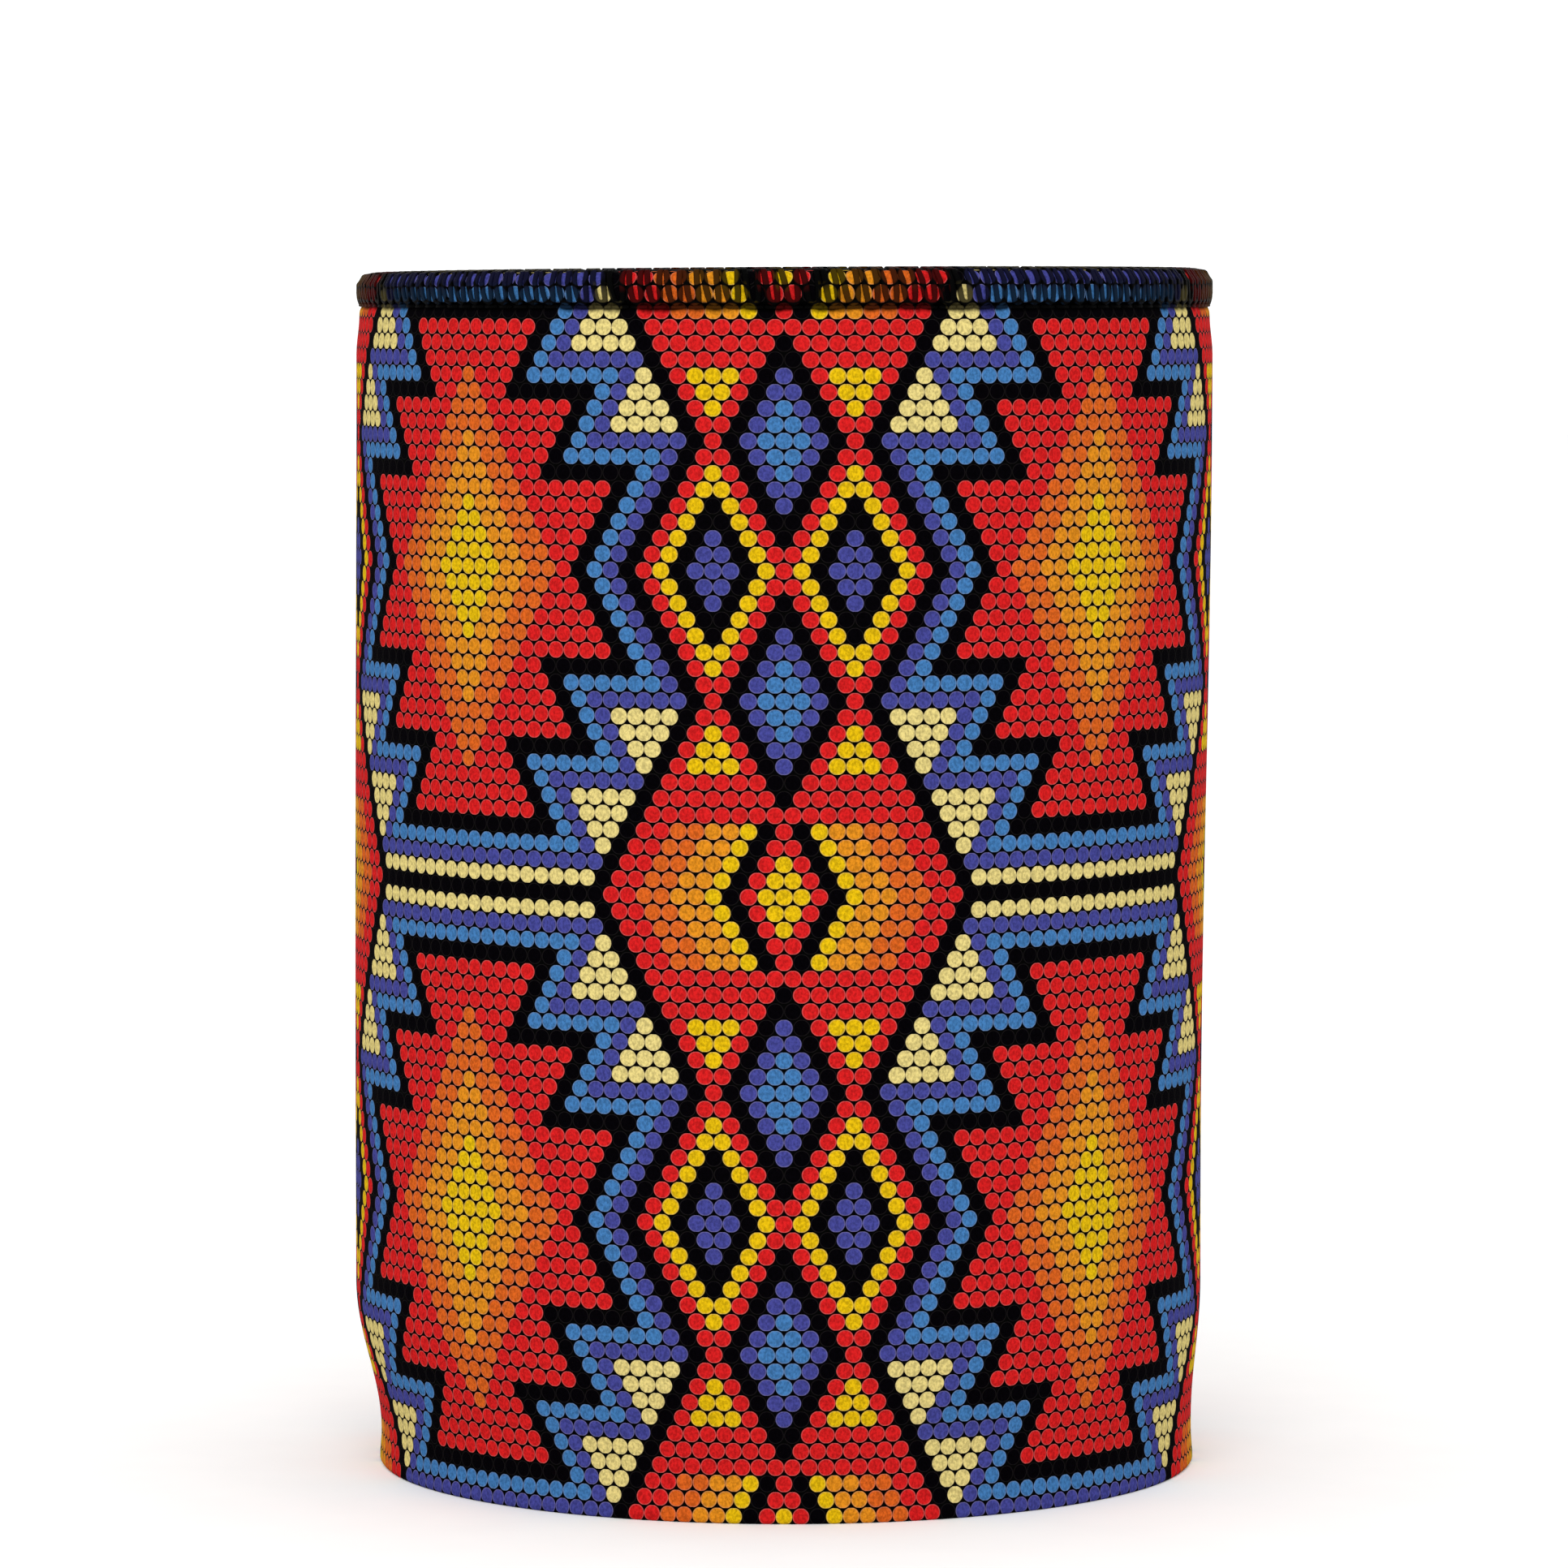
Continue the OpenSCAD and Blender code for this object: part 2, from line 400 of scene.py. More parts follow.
def neoprene():
    """Closed-cell neoprene foam, split from a block: dull charcoal, with fine open pores on its cut edges."""
    material, tree, shader = start_material(
        "neoprene_foam", roughness=0.9, ior=1.5, specular=0.1)
    place = add(tree, "ShaderNodeTexCoord").outputs["Object"]
    # Pores of 0.3 mm, sunk by the bump and painted darker in their pits as shade
    pores = add(tree, "ShaderNodeTexVoronoi", {"Vector": place, "Scale": 1 / (0.3 * MM)})
    pores = add(tree, "ShaderNodeMapRange", {
        "Value": pores.outputs["Distance"], "From Min": 0.1, "From Max": 0.6})
    colour = add(tree, "ShaderNodeMix", {
        "Factor": pores, "A": linear("#060607"), "B": linear("#141416")}, data_type="RGBA")
    set_surface(tree, shader, colour, pores, 0.6, 0.12)
    return material


def overlock_thread():
    """Textured polyester overlock thread, black, dyed a little by the print that runs over it.

    Its crimped filaments lie beside each other and scatter the light, so it has very little gloss.
    """
    material, tree, shader = start_material(
        "textured_polyester_overlock_thread", roughness=0.45, ior=1.5, specular=0.012)
    # How far each point lies from the middle of the print's nearest dot, in beads
    print_place = add(tree, "ShaderNodeSeparateXYZ", {
        0: add(tree, "ShaderNodeAttribute", attribute_name="print_place").outputs["Vector"]})
    row = add(tree, "ShaderNodeMath", {0: print_place.outputs["Y"]}, operation="ROUND")
    up = add(tree, "ShaderNodeMath", {0: print_place.outputs["Y"], 1: row}, operation="SUBTRACT")
    shift = add(tree, "ShaderNodeMath", {0: row, 1: -0.5, 2: print_place.outputs["X"]},
                operation="MULTIPLY_ADD")
    whole = add(tree, "ShaderNodeMath", {0: shift}, operation="ROUND")
    aside = add(tree, "ShaderNodeMath", {0: shift, 1: whole}, operation="SUBTRACT")
    dot = add(tree, "ShaderNodeCombineXYZ", {"X": aside, "Y": up})
    from_middle = add(tree, "ShaderNodeVectorMath", {0: dot}, operation="LENGTH")
    inside = add(tree, "ShaderNodeMapRange", {
        "Value": from_middle, "From Min": 0.45, "From Max": 0.53, "To Min": 0.075, "To Max": 0.0})
    dye = add(tree, "ShaderNodeAttribute", attribute_name="bead")
    colour = add(tree, "ShaderNodeMix", {
        "Factor": inside, "A": linear("#020202"), "B": dye.outputs["Color"]}, data_type="RGBA")
    # Filaments along the thread, ten across it
    across = add(tree, "ShaderNodeAttribute", attribute_name="across").outputs["Fac"]
    lines = add(tree, "ShaderNodeMath", {0: across, 1: 20 * math.tau}, operation="MULTIPLY")
    lines = add(tree, "ShaderNodeMath", {0: lines}, operation="SINE")
    lines = add(tree, "ShaderNodeMath", {0: lines, 1: 0.3, 2: speckle(tree, 0.15)},
                operation="MULTIPLY_ADD")
    set_surface(tree, shader, colour, lines, 0.5, 0.05)
    return material


def seam_thread():
    """Spun polyester sewing thread, black: two plies twisted together, slightly hairy and dull."""
    material, tree, shader = start_material(
        "spun_polyester_sewing_thread", roughness=0.65, ior=1.5, specular=0.35,
        sheen_weight=0.2, sheen_roughness=0.4)
    along = add(tree, "ShaderNodeAttribute", attribute_name="along").outputs["Fac"]
    across = add(tree, "ShaderNodeAttribute", attribute_name="across").outputs["Fac"]
    # The plies turn once in 0.9 mm
    turn = add(tree, "ShaderNodeMath", {0: along, 1: 2 / (0.9 * MM)}, operation="MULTIPLY")
    turn = add(tree, "ShaderNodeMath", {0: across, 1: 2.0, 2: turn}, operation="MULTIPLY_ADD")
    turn = add(tree, "ShaderNodeMath", {0: turn, 1: math.pi}, operation="MULTIPLY")
    plies = add(tree, "ShaderNodeMath", {0: turn}, operation="SINE")
    plies = add(tree, "ShaderNodeMath", {0: plies}, operation="ABSOLUTE")
    # Painted shade and highlight: the colour is lighter on the plies' crests and darker in the groove between
    # them, broken up by random tone
    shade = add(tree, "ShaderNodeMath", {0: plies, 1: speckle(tree, 0.15)}, operation="MULTIPLY")
    colour = add(tree, "ShaderNodeMix", {
        "Factor": shade, "A": linear("#08080a"), "B": linear("#2a2a2e")}, data_type="RGBA")
    set_surface(tree, shader, colour, plies, 0.8, 0.08)
    return material


PRINTED_JERSEY = printed_jersey()
BLACK_JERSEY = black_jersey()
NEOPRENE = neoprene()
OVERLOCK_THREAD = overlock_thread()
SEAM_THREAD = seam_thread()


# ---------------------------------------------------------------- layers of the wall

def facing_out(points, faces):
    """The faces of a closed shell, turned to point outwards."""
    a, b, c, d = (points[faces[:, i]] for i in range(4))
    volume = np.sum(a * np.cross(b, c)) + np.sum(a * np.cross(c, d))
    return faces if volume > 0 else faces[:, ::-1]


def closed_mesh(name, points, faces):
    """A mesh of four-sided faces, smooth except where it turns sharply."""
    faces = facing_out(points, faces)
    mesh = bpy.data.meshes.new(name)
    mesh.from_pydata(points.tolist(), [], faces.tolist())
    mesh.polygons.foreach_set("use_smooth", np.ones(len(faces), bool))
    mesh.set_sharp_from_angle(angle=math.radians(50))
    return mesh, faces


def add_map(mesh, name, corners):
    """A UV map from one (x, y) for each corner of each face."""
    layer = mesh.uv_layers.new(name=name, do_init=False)
    layer.uv.foreach_set("vector", np.asarray(corners, float).ravel())


def put(mesh, name, material):
    """Shows a finished mesh as a piece in that material."""
    mesh.materials.clear()
    mesh.materials.append(material)
    piece = bpy.data.objects.new(name, mesh)
    bpy.context.collection.objects.link(piece)
    return piece


def panel(name, outside, inside, angles):
    """A closed layer of the panel, rolled from one side of the slit round to the other.

    outside and inside are equal lists of (radius, height) from the foot to the rim. Returns the mesh, its
    faces, and for every point its angle and its place in the lists. The outer faces come first.
    """
    m, n = len(outside), len(angles)
    angle = np.tile(angles, 2 * m)
    step = np.tile(np.repeat(np.arange(m), n), 2)
    ring = np.repeat(np.concatenate([outside, inside]), n, axis=0)
    points = settle(ring[:, 0], angle, ring[:, 1])
    out = np.arange(m * n).reshape(m, n)
    inn = out + m * n
    strips = [
        (out[:-1, :-1], out[:-1, 1:], out[1:, 1:], out[1:, :-1]),
        (inn[:-1, :-1], inn[1:, :-1], inn[1:, 1:], inn[:-1, 1:]),
        (out[0, :-1], inn[0, :-1], inn[0, 1:], out[0, 1:]),
        (out[-1, :-1], out[-1, 1:], inn[-1, 1:], inn[-1, :-1]),
        (out[:-1, 0], out[1:, 0], inn[1:, 0], inn[:-1, 0]),
        (out[:-1, -1], inn[:-1, -1], inn[1:, -1], out[1:, -1]),
    ]
    faces = np.concatenate([np.stack([s.ravel() for s in strip], axis=1) for strip in strips])
    mesh, faces = closed_mesh(name, points, faces)
    return mesh, faces, angle, step


def around_corner(radius, side, last):
    """Points on an arc of that radius round the rim's corner, up to last degrees.

    side is 1 for the corner of the outer face and -1 for the inner one's.
    """
    middle = RIM_OUT_R - CORNER_R if side > 0 else RIM_IN_R + CORNER_R
    turn = np.radians(np.linspace(0, last, 7)[1:])
    return np.stack([middle + side * radius * np.cos(turn), CORNER_Z + radius * np.sin(turn)], axis=1)


def layer_line(face, offset, side, heights):
    """The (radius, height) line of a layer's face from the foot up and round the rim's corner."""
    straight = np.stack([face(heights) + offset, heights], axis=1)
    return np.concatenate([straight, around_corner(CORNER_R + side * offset, side, CUT_ANGLE)])


def seam_to_seam(count):
    """Angles round the sleeve from one side of the slit to the other, closer together beside it."""
    end = math.pi - SLIT / 2 / (BORE_R + WALL_T)
    even = np.linspace(-math.pi, math.pi, count + 1)[1:-1]
    beside = [end - 0.3 / count, end]
    return np.array(sorted([-a for a in beside] + list(even) + beside))


def eighths_apart(distance):
    """How many eighths of a row lie between two lines of the cover's mesh, fewer where the face bends."""
    if distance > 101:
        return 1
    if distance > 99:
        return 2
    return 4 if distance < 17 or distance > 96 else 8


def print_rows():
    """Distances up the printed face where the mesh has a line: every row's edge, and more where it bends."""
    top = CORNER_Z + CORNER_R * math.radians(CUT_ANGLE)
    steps = [0.0, 0.1, 0.25]
    for eighth in range(-8 * REPEAT, 8 * REPEAT):
        distance = row_distance(eighth / 8 + 0.5)
        if eighth % eighths_apart(distance) == 0 and 0.4 < distance < top - 0.05:
            steps.append(distance)
    return np.array(steps + [top])


def cover_line(distances, depth):
    """The (radius, height) line of the printed jersey, depth below its face, at distances up that face."""
    straight = distances[distances <= CORNER_Z]
    turn = (distances[distances > CORNER_Z] - CORNER_Z) / CORNER_R
    # The jersey's lower edge is rounded off where it turns under
    rounding = 0.22 * np.clip(1 - straight / 0.35, 0, 1) ** 2 if depth == 0 else 0
    middle = RIM_OUT_R - CORNER_R
    reach = CORNER_R - depth
    return np.concatenate([
        np.stack([outer_face(straight) - depth - rounding, straight], axis=1),
        np.stack([middle + reach * np.cos(turn), CORNER_Z + reach * np.sin(turn)], axis=1),
    ])


def make_cover():
    """The printed jersey, with one mesh column for each half bead and a line at each row's edge."""
    distances = print_rows()
    end = BEADS_ROUND / 2 - SLIT / 2 / (BORE_R + WALL_T) * BEADS_ROUND / math.tau
    halves = np.arange(-BEADS_ROUND + 1, BEADS_ROUND) / 2
    beads = np.array([-end, 0.25 - BEADS_ROUND / 2, *halves, BEADS_ROUND / 2 - 0.25, end])
    mesh, faces, angle, step = panel(
        "cover_jersey", cover_line(distances, 0), cover_line(distances, JERSEY_T),
        beads * math.tau / BEADS_ROUND)
    u = angle * BEADS_ROUND / math.tau
    v = row_at(distances[step])
    shown = (len(distances) - 1) * (len(beads) - 1)
    colours = np.tile(linear(BEAD_COLOURS["K"], 0.0), (len(faces), 1))
    centres = np.zeros((len(faces), 2))
    table = {letter: linear(code, RING_ON_BLACK if letter == "K" else RING)
             for letter, code in BEAD_COLOURS.items()}
    middles = np.stack([u[faces].mean(axis=1), v[faces].mean(axis=1)], axis=1)
    for i in range(shown):
        centres[i] = bead_place(*middles[i])
        colours[i] = table[bead(*centres[i])]
    local = (np.stack([u[faces], v[faces]], axis=2) - centres[:, None]) * (1, BEAD_SQUEEZE)
    local[shown:] = 1.0
    add_map(mesh, "dot", local)
    add_map(mesh, "knit", np.stack([angle[faces] * RIM_OUT_R, distances[step][faces]], axis=2))
    # The shown face fills nearly all of the bake's square, and the hidden one is parked along its foot
    wide = (angle[faces] + math.pi) / math.tau
    tall = distances[step][faces] / distances[-1]
    tall = np.where(np.arange(len(faces))[:, None] < shown, 0.03 + 0.97 * tall, 0.025 * tall)
    add_map(mesh, "OFBake", np.stack([wide, tall], axis=2))
    layer = mesh.attributes.new("bead", "FLOAT_COLOR", "FACE")
    layer.data.foreach_set("color", colours.ravel())
    return put(mesh, "cover_jersey", PRINTED_JERSEY)


def wall_heights(foot):
    """Heights where the foam's and the lining's meshes have a line."""
    return np.concatenate([
        [foot], np.arange(1, 17), np.arange(20, 97, 4), np.arange(98, 101, 0.5),
        np.arange(101.2, CORNER_Z, 0.2)])


def make_foam():
    """The foam of the wall, between the printed cover and the lining."""
    heights = wall_heights(0.12)
    gap = JERSEY_T + GLUE_T
    # Between the two cut edges of jersey it swells up in a low crown: each point's distance from the rim's
    # middle, and its height
    swell = np.array([(0.95, EDGE_Z - 0.27), (0.8, EDGE_Z - 0.1), (0.45, EDGE_Z - 0.03), (0.15, EDGE_Z)])
    outside = np.concatenate([layer_line(outer_face, -gap, 1, heights), (RIM_MID_R, 0) + swell])
    inside = np.concatenate([layer_line(inner_face, gap, -1, heights), (RIM_MID_R, 0) + swell * (-1, 1)])
    mesh = panel("wall_foam", outside, inside, seam_to_seam(WALL_COLUMNS))[0]
    return put(mesh, "wall_foam", NEOPRENE)


def make_lining():
    """The black jersey inside the wall."""
    heights = wall_heights(0.0)
    outside = layer_line(inner_face, JERSEY_T, -1, heights)
    inside = layer_line(inner_face, 0, -1, heights)
    mesh, faces, angle, step = panel("lining_jersey", outside, inside, seam_to_seam(WALL_COLUMNS))
    place = np.stack([angle * BORE_R, outside[step, 1]], axis=1)
    add_map(mesh, "knit", place[faces])
    return put(mesh, "lining_jersey", BLACK_JERSEY)


# ---------------------------------------------------------------- the base

def crown(radius):
    """1 at the middle of the disc's ring and 0 at its rim and at the vent's edge."""
    return np.sin(math.pi * np.clip((radius - VENT_R) / (BASE_R - VENT_R), 0, 1)) ** 0.5


def make_disc(name, low, high, material):
    """A disc with the vent hole through it, between two lines of height over its radius."""
    across = (1 - np.cos(np.linspace(0, math.pi, 28))) / 2
    radii = VENT_R + (BASE_R - 0.03 - VENT_R) * across
    bottom = np.stack([radii, low(radii)], axis=1)
    top = np.stack([radii, high(radii)], axis=1)[::-1]
    outline = np.concatenate([bottom, top])
    m, n = len(outline), DISC_COLUMNS
    angles = np.linspace(-math.pi, math.pi, n, endpoint=False)
    ring = np.repeat(outline, n, axis=0)
    angle = np.tile(angles, m)
    points = settle(ring[:, 0], angle, ring[:, 1])
    here = np.arange(m * n).reshape(m, n)
    up, on = np.roll(here, -1, axis=0), np.roll(here, -1, axis=1)
    corner = np.roll(up, -1, axis=1)
    faces = np.stack([here.ravel(), on.ravel(), corner.ravel(), up.ravel()], axis=1)
    mesh, faces = closed_mesh(name, points, faces)
    add_map(mesh, "knit", points[faces][:, :, :2] / MM)
    return put(mesh, name, material)


def underside(depth):
    """Height of a line that lies depth above the base's underside, which bulges and just clears the floor."""
    return lambda radius: 0.02 + 0.35 * (1 - crown(radius)) + depth


def upper_side(depth):
    """Height of a line that lies depth below the base's slightly crowned upper side."""
    return lambda radius: BASE_T - 0.3 * (1 - crown(radius)) - depth


# ---------------------------------------------------------------- threads

def start_tree(name, sizes):
    """A node tree with a guide line and named sizes in and a thread out, and its inputs' sockets."""
    tree = bpy.data.node_groups.new(name, "GeometryNodeTree")
    tree.interface.new_socket("Guide", in_out="INPUT", socket_type="NodeSocketGeometry")
    for size, kind in sizes.items():
        tree.interface.new_socket(size, in_out="INPUT", socket_type=kind)
    tree.interface.new_socket("Thread", in_out="OUTPUT", socket_type="NodeSocketGeometry")
    return tree, add(tree, "NodeGroupInput").outputs


def sample_guide(tree, given, factor):
    """The guide line's radius, height and outward direction at a factor along it."""
    guide = add(tree, "GeometryNodeMeshToCurve", {"Mesh": given["Guide"]})
    sample = add(tree, "GeometryNodeSampleCurve", {"Curves": guide, "Factor": factor}, mode="FACTOR")
    place = add(tree, "ShaderNodeSeparateXYZ", {0: sample.outputs["Position"]})
    run = add(tree, "ShaderNodeSeparateXYZ", {0: sample.outputs["Tangent"]})
    down = add(tree, "ShaderNodeMath", {0: run.outputs["X"], 1: -1.0}, operation="MULTIPLY")
    return place.outputs["X"], place.outputs["Z"], run.outputs["Z"], down


def turned(tree, radius, height, angle):
    """The vector at that radius and height, turned by the angle from the front."""
    sine = add(tree, "ShaderNodeMath", {0: angle}, operation="SINE")
    cosine = add(tree, "ShaderNodeMath", {0: angle}, operation="COSINE")
    x = add(tree, "ShaderNodeMath", {0: radius, 1: sine}, operation="MULTIPLY")
    y = add(tree, "ShaderNodeMath", {0: radius, 1: cosine}, operation="MULTIPLY")
    y = add(tree, "ShaderNodeMath", {0: y, 1: -1.0}, operation="MULTIPLY")
    return add(tree, "ShaderNodeCombineXYZ", {"X": x, "Y": y, "Z": height})


def lay_thread(tree, given, count, place, outward):
    """Lays a flat two-lobed thread along the places of count points, and ends the tree."""
    line = add(tree, "GeometryNodeCurvePrimitiveLine")
    line = add(tree, "GeometryNodeResampleCurve", {"Curve": line, "Count": count}, mode="COUNT")
    line = add(tree, "GeometryNodeSetPosition", {"Geometry": line, "Position": place})
    line = add(tree, "GeometryNodeSetCurveNormal", {"Curve": line, "Normal": outward}, mode="FREE")
    length = add(tree, "GeometryNodeSplineParameter").outputs["Length"]
    line = add(tree, "GeometryNodeStoreNamedAttribute", {
        "Geometry": line, "Name": "along", "Value": length}, data_type="FLOAT", domain="POINT")
    # The thread's section is thinner along its middle, like two strands side by side
    ring = add(tree, "GeometryNodeCurvePrimitiveCircle", {"Resolution": 8, "Radius": 1.0})
    factor = add(tree, "GeometryNodeSplineParameter").outputs["Factor"]
    turn = add(tree, "ShaderNodeMath", {0: factor, 1: math.tau, 2: -math.pi / 2}, operation="MULTIPLY_ADD")
    x = add(tree, "ShaderNodeMath", {0: turn}, operation="COSINE")
    y = add(tree, "ShaderNodeMath", {0: turn}, operation="SINE")
    lobes = add(tree, "ShaderNodeMath", {0: turn, 1: 4.0}, operation="MULTIPLY")
    lobes = add(tree, "ShaderNodeMath", {0: lobes}, operation="COSINE")
    lobes = add(tree, "ShaderNodeMath", {0: lobes, 1: -0.22, 2: 0.95}, operation="MULTIPLY_ADD")
    y = add(tree, "ShaderNodeMath", {0: y, 1: lobes}, operation="MULTIPLY")
    half_w = add(tree, "ShaderNodeMath", {0: given["Width"], 1: 0.5}, operation="MULTIPLY")
    half_t = add(tree, "ShaderNodeMath", {0: given["Thickness"], 1: 0.5}, operation="MULTIPLY")
    x = add(tree, "ShaderNodeMath", {0: x, 1: half_w}, operation="MULTIPLY")
    y = add(tree, "ShaderNodeMath", {0: y, 1: half_t}, operation="MULTIPLY")
    ring = add(tree, "GeometryNodeSetPosition", {
        "Geometry": ring.outputs["Curve"], "Position": add(tree, "ShaderNodeCombineXYZ", {"X": y, "Y": x})})
    ring = add(tree, "GeometryNodeStoreNamedAttribute", {
        "Geometry": ring, "Name": "across", "Value": factor}, data_type="FLOAT", domain="POINT")
    thread = add(tree, "GeometryNodeCurveToMesh", {
        "Curve": line, "Profile Curve": ring, "Fill Caps": True})
    thread = add(tree, "GeometryNodeSetShadeSmooth", {"Geometry": thread})
    thread = add(tree, "GeometryNodeRealizeInstances", {"Geometry": thread})
    thread = add(tree, "GeometryNodeSetMaterial", {"Geometry": thread, "Material": given["Material"]})
    add(tree, "NodeGroupOutput", {"Thread": thread})


def looper_tree():
    """A looper thread: up from the needle row over the edge and back down, once for each stitch."""
    tree, given = start_tree("overlock_looper", {
        "Stitches": "NodeSocketInt", "Points a stitch": "NodeSocketInt", "Width": "NodeSocketFloat",
        "Thickness": "NodeSocketFloat", "Spread at the row": "NodeSocketFloat",
        "Spread at the edge": "NodeSocketFloat", "Slant": "NodeSocketFloat", "Unevenness": "NodeSocketFloat",
        "Start": "NodeSocketFloat", "Seed": "NodeSocketInt", "Material": "NodeSocketMaterial"})
    index = add(tree, "GeometryNodeInputIndex")
    phase = add(tree, "ShaderNodeMath", {0: index, 1: given["Points a stitch"]}, operation="DIVIDE")
    stitch = add(tree, "ShaderNodeMath", {0: phase}, operation="FLOOR")
    part = add(tree, "ShaderNodeMath", {0: phase}, operation="FRACT")
    reach = add(tree, "ShaderNodeMath", {0: part, 1: math.tau}, operation="MULTIPLY")
    reach = add(tree, "ShaderNodeMath", {0: reach}, operation="COSINE")
    reach = add(tree, "ShaderNodeMath", {0: reach, 1: -0.5, 2: 0.5}, operation="MULTIPLY_ADD")
    uneven = add(tree, "FunctionNodeRandomValue", {
        "Min": -1.0, "Max": 1.0, "ID": stitch, "Seed": given["Seed"]}, data_type="FLOAT")
    other_seed = add(tree, "ShaderNodeMath", {0: given["Seed"], 1: 1.0}, operation="ADD")
    wander = add(tree, "FunctionNodeRandomValue", {
        "Min": -1.0, "Max": 1.0, "ID": stitch, "Seed": other_seed}, data_type="FLOAT")
    # How far each leg stands from the middle of its stitch, as a share of the stitch
    spread = add(tree, "ShaderNodeMapRange", {
        "Value": reach, "To Min": given["Spread at the row"], "To Max": given["Spread at the edge"]})
    vary = add(tree, "ShaderNodeMath", {0: uneven, 1: given["Unevenness"], 2: 1.0}, operation="MULTIPLY_ADD")
    spread = add(tree, "ShaderNodeMath", {0: spread, 1: vary}, operation="MULTIPLY")
    # Along a stitch the thread goes out to its first leg, over the edge to the second, and on to the next
    to_leg = add(tree, "ShaderNodeMapRange", {"Value": part, "From Max": 0.09},
                 interpolation_type="SMOOTHSTEP")
    over = add(tree, "ShaderNodeMapRange", {"Value": part, "From Min": 0.38, "From Max": 0.62},
               interpolation_type="SMOOTHSTEP")
    onward = add(tree, "ShaderNodeMapRange", {"Value": part, "From Min": 0.91},
                 interpolation_type="SMOOTHSTEP")
    ends = add(tree, "ShaderNodeMath", {0: to_leg, 1: onward}, operation="ADD")
    outer_half = add(tree, "ShaderNodeMath", {0: 0.5, 1: spread}, operation="SUBTRACT")
    sideways = add(tree, "ShaderNodeMath", {0: ends, 1: outer_half}, operation="MULTIPLY")
    inner_part = add(tree, "ShaderNodeMath", {0: over, 1: spread}, operation="MULTIPLY")
    sideways = add(tree, "ShaderNodeMath", {0: inner_part, 1: 2.0, 2: sideways}, operation="MULTIPLY_ADD")
    lean = add(tree, "ShaderNodeMath", {0: wander, 1: given["Unevenness"], 2: given["Slant"]},
               operation="MULTIPLY_ADD")
    sideways = add(tree, "ShaderNodeMath", {0: reach, 1: lean, 2: sideways}, operation="MULTIPLY_ADD")
    along = add(tree, "ShaderNodeMath", {0: stitch, 1: sideways}, operation="ADD")
    along = add(tree, "ShaderNodeMath", {0: along, 1: given["Start"]}, operation="ADD")
    turn = add(tree, "ShaderNodeMath", {0: math.tau, 1: given["Stitches"]}, operation="DIVIDE")
    angle = add(tree, "ShaderNodeMath", {0: along, 1: turn, 2: -math.pi}, operation="MULTIPLY_ADD")
    # Some loops reach a little less far over the edge than others
    short = add(tree, "ShaderNodeMath", {0: uneven, 1: 0.03, 2: 0.97}, operation="MULTIPLY_ADD")
    factor = add(tree, "ShaderNodeMath", {0: reach, 1: short}, operation="MULTIPLY")
    radius, height, out_r, out_z = sample_guide(tree, given, factor)
    count = add(tree, "ShaderNodeMath", {0: given["Stitches"], 1: given["Points a stitch"]},
                operation="MULTIPLY")
    lay_thread(tree, given, count, turned(tree, radius, height, angle), turned(tree, out_r, out_z, angle))
    return tree


def row_tree():
    """The needle thread: a row of short stitches that each rise out of one hole and dip into the next."""
    tree, given = start_tree("needle_row", {
        "Stitches": "NodeSocketInt", "Points a stitch": "NodeSocketInt", "Width": "NodeSocketFloat",
        "Thickness": "NodeSocketFloat", "Start": "NodeSocketFloat", "Material": "NodeSocketMaterial"})
    index = add(tree, "GeometryNodeInputIndex")
    phase = add(tree, "ShaderNodeMath", {0: index, 1: given["Points a stitch"]}, operation="DIVIDE")
    along = add(tree, "ShaderNodeMath", {0: phase, 1: given["Start"]}, operation="ADD")
    turn = add(tree, "ShaderNodeMath", {0: math.tau, 1: given["Stitches"]}, operation="DIVIDE")
    angle = add(tree, "ShaderNodeMath", {0: along, 1: turn, 2: -math.pi}, operation="MULTIPLY_ADD")
    # The guide runs out from inside the hole to the top of the arch
    rise = add(tree, "ShaderNodeMath", {0: phase, 1: math.pi}, operation="MULTIPLY")
    rise = add(tree, "ShaderNodeMath", {0: rise}, operation="SINE")
    rise = add(tree, "ShaderNodeMath", {0: rise}, operation="ABSOLUTE")
    rise = add(tree, "ShaderNodeMath", {0: rise, 1: 0.7}, operation="POWER")
    radius, height = sample_guide(tree, given, rise)[:2]
    count = add(tree, "ShaderNodeMath", {0: given["Stitches"], 1: given["Points a stitch"]},
                operation="MULTIPLY")
    lay_thread(tree, given, count, turned(tree, radius, height, angle), turned(tree, 1.0, 0.0, angle))
    return tree


